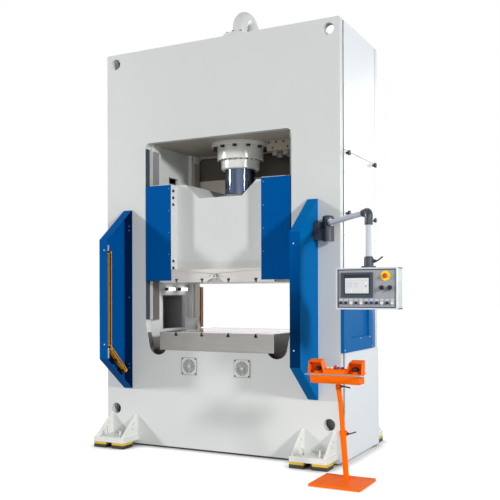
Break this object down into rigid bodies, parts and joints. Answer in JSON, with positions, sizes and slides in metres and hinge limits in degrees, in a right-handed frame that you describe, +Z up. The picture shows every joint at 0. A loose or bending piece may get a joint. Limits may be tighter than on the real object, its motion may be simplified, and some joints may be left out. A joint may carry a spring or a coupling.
{
  "type": "hydraulic press",
  "caption": "Closed-frame hydraulic press with a guided ram, a slotted table, side guards, a swinging control panel and a two-hand operating stand.",
  "frame": {"origin": "middle of the table's top face", "axes": "+Z up and along the ram's travel, +X to the operator's right, +Y from the operator into the press"},
  "size_m": [3.557, 2.354, 4.6999],
  "materials": {
    "frame_paint": "satin",
    "panel_paint": "satin",
    "blue_paint": "satin",
    "machined_steel": "machined",
    "cast_grey": "satin",
    "guide_white": "satin",
    "bronze": "machined",
    "dark_sheet": "matt",
    "black_steel": "oiled",
    "chrome": "polished",
    "pipe_paint": "satin",
    "yellow_paint": "satin",
    "lamp_glass": "frosted",
    "rubber": "matt",
    "zinc": "zinc plated",
    "grey_casting": "satin",
    "aluminium": "satin",
    "box_paint": "textured",
    "black_plastic": "matt",
    "screen": "gloss",
    "red_plastic": "gloss",
    "white_plastic": "gloss",
    "blue_plastic": "gloss",
    "orange_paint": "satin",
    "steel_tube": "satin"
  },
  "bodies": {
    "root": {"front_frame_plate": "frame_paint", "rear_frame_plate": "frame_paint", "crown_box": "frame_paint", "bed_box": "frame_paint", "right_column_box": "frame_paint", "left_column_box": "frame_paint", "table_plate": "machined_steel", "guide_rails": "guide_white", "main_cylinder": "frame_paint", "cylinder_gland": "cast_grey", "cylinder_bolts": "black_steel", "suction_pipe": "pipe_paint", "upper_side_panels": "panel_paint", "middle_side_panels": "panel_paint", "right_vent_panel": "blue_paint", "right_base_panel": "panel_paint", "left_lower_panel": "panel_paint", "panel_knobs": "black_plastic", "oil_tank": "panel_paint", "motor_pump": "grey_casting", "valve_block": "cast_grey", "rear_upper_panel": "dark_sheet", "right_guard": "blue_paint", "left_guard": "blue_paint", "light_curtains": "yellow_paint", "vent_plates": "black_steel", "work_lamps": "lamp_glass", "feet": "frame_paint", "foot_pads": "rubber", "foot_bolts": "zinc", "pendant_bracket": "grey_casting", "stand_base": "orange_paint"},
    "ram": {"ram_slide": "frame_paint", "ram_platen": "machined_steel", "ram_covers": "blue_paint", "guide_shoes": "bronze", "ram_bolts": "black_steel", "rod_clamp_ring": "cast_grey", "piston_rod": "chrome"},
    "pendant_arm": {"pendant_arm": "aluminium"},
    "control_unit": {"pendant_coupling": "grey_casting", "control_box": "box_paint", "control_display": "screen"},
    "coupling_lever": {"coupling_lever": "black_plastic"},
    "control_estop": {"control_estop": "red_plastic"},
    "left_selector": {"left_selector": "black_plastic"},
    "right_selector": {"right_selector": "black_plastic"},
    "stand_post": {"stand_post": "orange_paint"},
    "console": {"console_body": "orange_paint", "console_hub": "orange_paint", "console_rail": "steel_tube"},
    "left_palm_button": {"left_palm_button": "black_plastic"},
    "right_palm_button": {"right_palm_button": "black_plastic"},
    "console_estop": {"console_estop": "red_plastic"},
    "console_button_1": {"console_button_1": "white_plastic"},
    "console_button_2": {"console_button_2": "white_plastic"},
    "console_button_3": {"console_button_3": "blue_plastic"},
    "console_button_4": {"console_button_4": "black_plastic"},
    "post_lever": {"post_lever": "black_plastic"},
    "tilt_lever": {"tilt_lever": "black_plastic"}
  },
  "joints": [
    {"name": "ram_travel", "type": "slide", "parent": "root", "child": "ram", "axis": [0, 0, 1], "range_m": [-0.45, 0.25]},
    {"name": "arm_swing", "type": "hinge", "parent": "root", "child": "pendant_arm", "pos_m": [1.262, -0.645, 1], "axis": [0, 0, 1], "range_deg": [-45, 50]},
    {"name": "box_turn", "type": "hinge", "parent": "pendant_arm", "child": "control_unit", "pos_m": [1.907, -1.41, 0.69], "axis": [0, 0, 1], "range_deg": [-60, 60]},
    {"name": "coupling_lever_turn", "type": "hinge", "parent": "control_unit", "child": "coupling_lever", "pos_m": [1.95, -1.41, 0.653], "axis": [1, 0, 0], "range_deg": [-40, 40]},
    {"name": "control_estop_push", "type": "slide", "parent": "control_unit", "child": "control_estop", "axis": [0, 1, 0], "range_m": [0, 0.005]},
    {"name": "left_selector_turn", "type": "hinge", "parent": "control_unit", "child": "left_selector", "pos_m": [2.031, -1.485, 0.439], "axis": [0, 1, 0], "range_deg": [-45, 45]},
    {"name": "right_selector_turn", "type": "hinge", "parent": "control_unit", "child": "right_selector", "pos_m": [2.098, -1.485, 0.439], "axis": [0, 1, 0], "range_deg": [-45, 45]},
    {"name": "stand_height", "type": "slide", "parent": "root", "child": "stand_post", "axis": [0, -0.1994, 0.9799], "range_m": [-0.09, 0.12]},
    {"name": "console_tilt", "type": "hinge", "parent": "stand_post", "child": "console", "pos_m": [1.589, -1.26637, -0.38334], "axis": [1, 0, 0], "range_deg": [-15, 15]},
    {"name": "left_palm_press", "type": "slide", "parent": "console", "child": "left_palm_button", "axis": [0, 0, -1], "range_m": [0, 0.008], "stiffness_N_per_m": 800, "springref_m": -0.005},
    {"name": "right_palm_press", "type": "slide", "parent": "console", "child": "right_palm_button", "axis": [0, 0, -1], "range_m": [0, 0.008], "stiffness_N_per_m": 800, "springref_m": -0.005},
    {"name": "console_estop_push", "type": "slide", "parent": "console", "child": "console_estop", "axis": [0, 0, -1], "range_m": [0, 0.005]},
    {"name": "post_lever_turn", "type": "hinge", "parent": "root", "child": "post_lever", "pos_m": [1.626, -1.15594, -0.79635], "axis": [1, 0, 0], "range_deg": [-40, 40]},
    {"name": "tilt_lever_turn", "type": "hinge", "parent": "stand_post", "child": "tilt_lever", "pos_m": [1.611, -1.26637, -0.38334], "axis": [1, 0, 0], "range_deg": [-40, 40]},
    {"name": "console_button_1_press", "type": "slide", "parent": "console", "child": "console_button_1", "axis": [0, 0, -1], "range_m": [0, 0.003], "stiffness_N_per_m": 300, "springref_m": -0.002},
    {"name": "console_button_2_press", "type": "slide", "parent": "console", "child": "console_button_2", "axis": [0, 0, -1], "range_m": [0, 0.003], "stiffness_N_per_m": 300, "springref_m": -0.002},
    {"name": "console_button_3_press", "type": "slide", "parent": "console", "child": "console_button_3", "axis": [0, 0, -1], "range_m": [0, 0.003], "stiffness_N_per_m": 300, "springref_m": -0.002},
    {"name": "console_button_4_press", "type": "slide", "parent": "console", "child": "console_button_4", "axis": [0, 0, -1], "range_m": [0, 0.003], "stiffness_N_per_m": 300, "springref_m": -0.002}
  ]
}
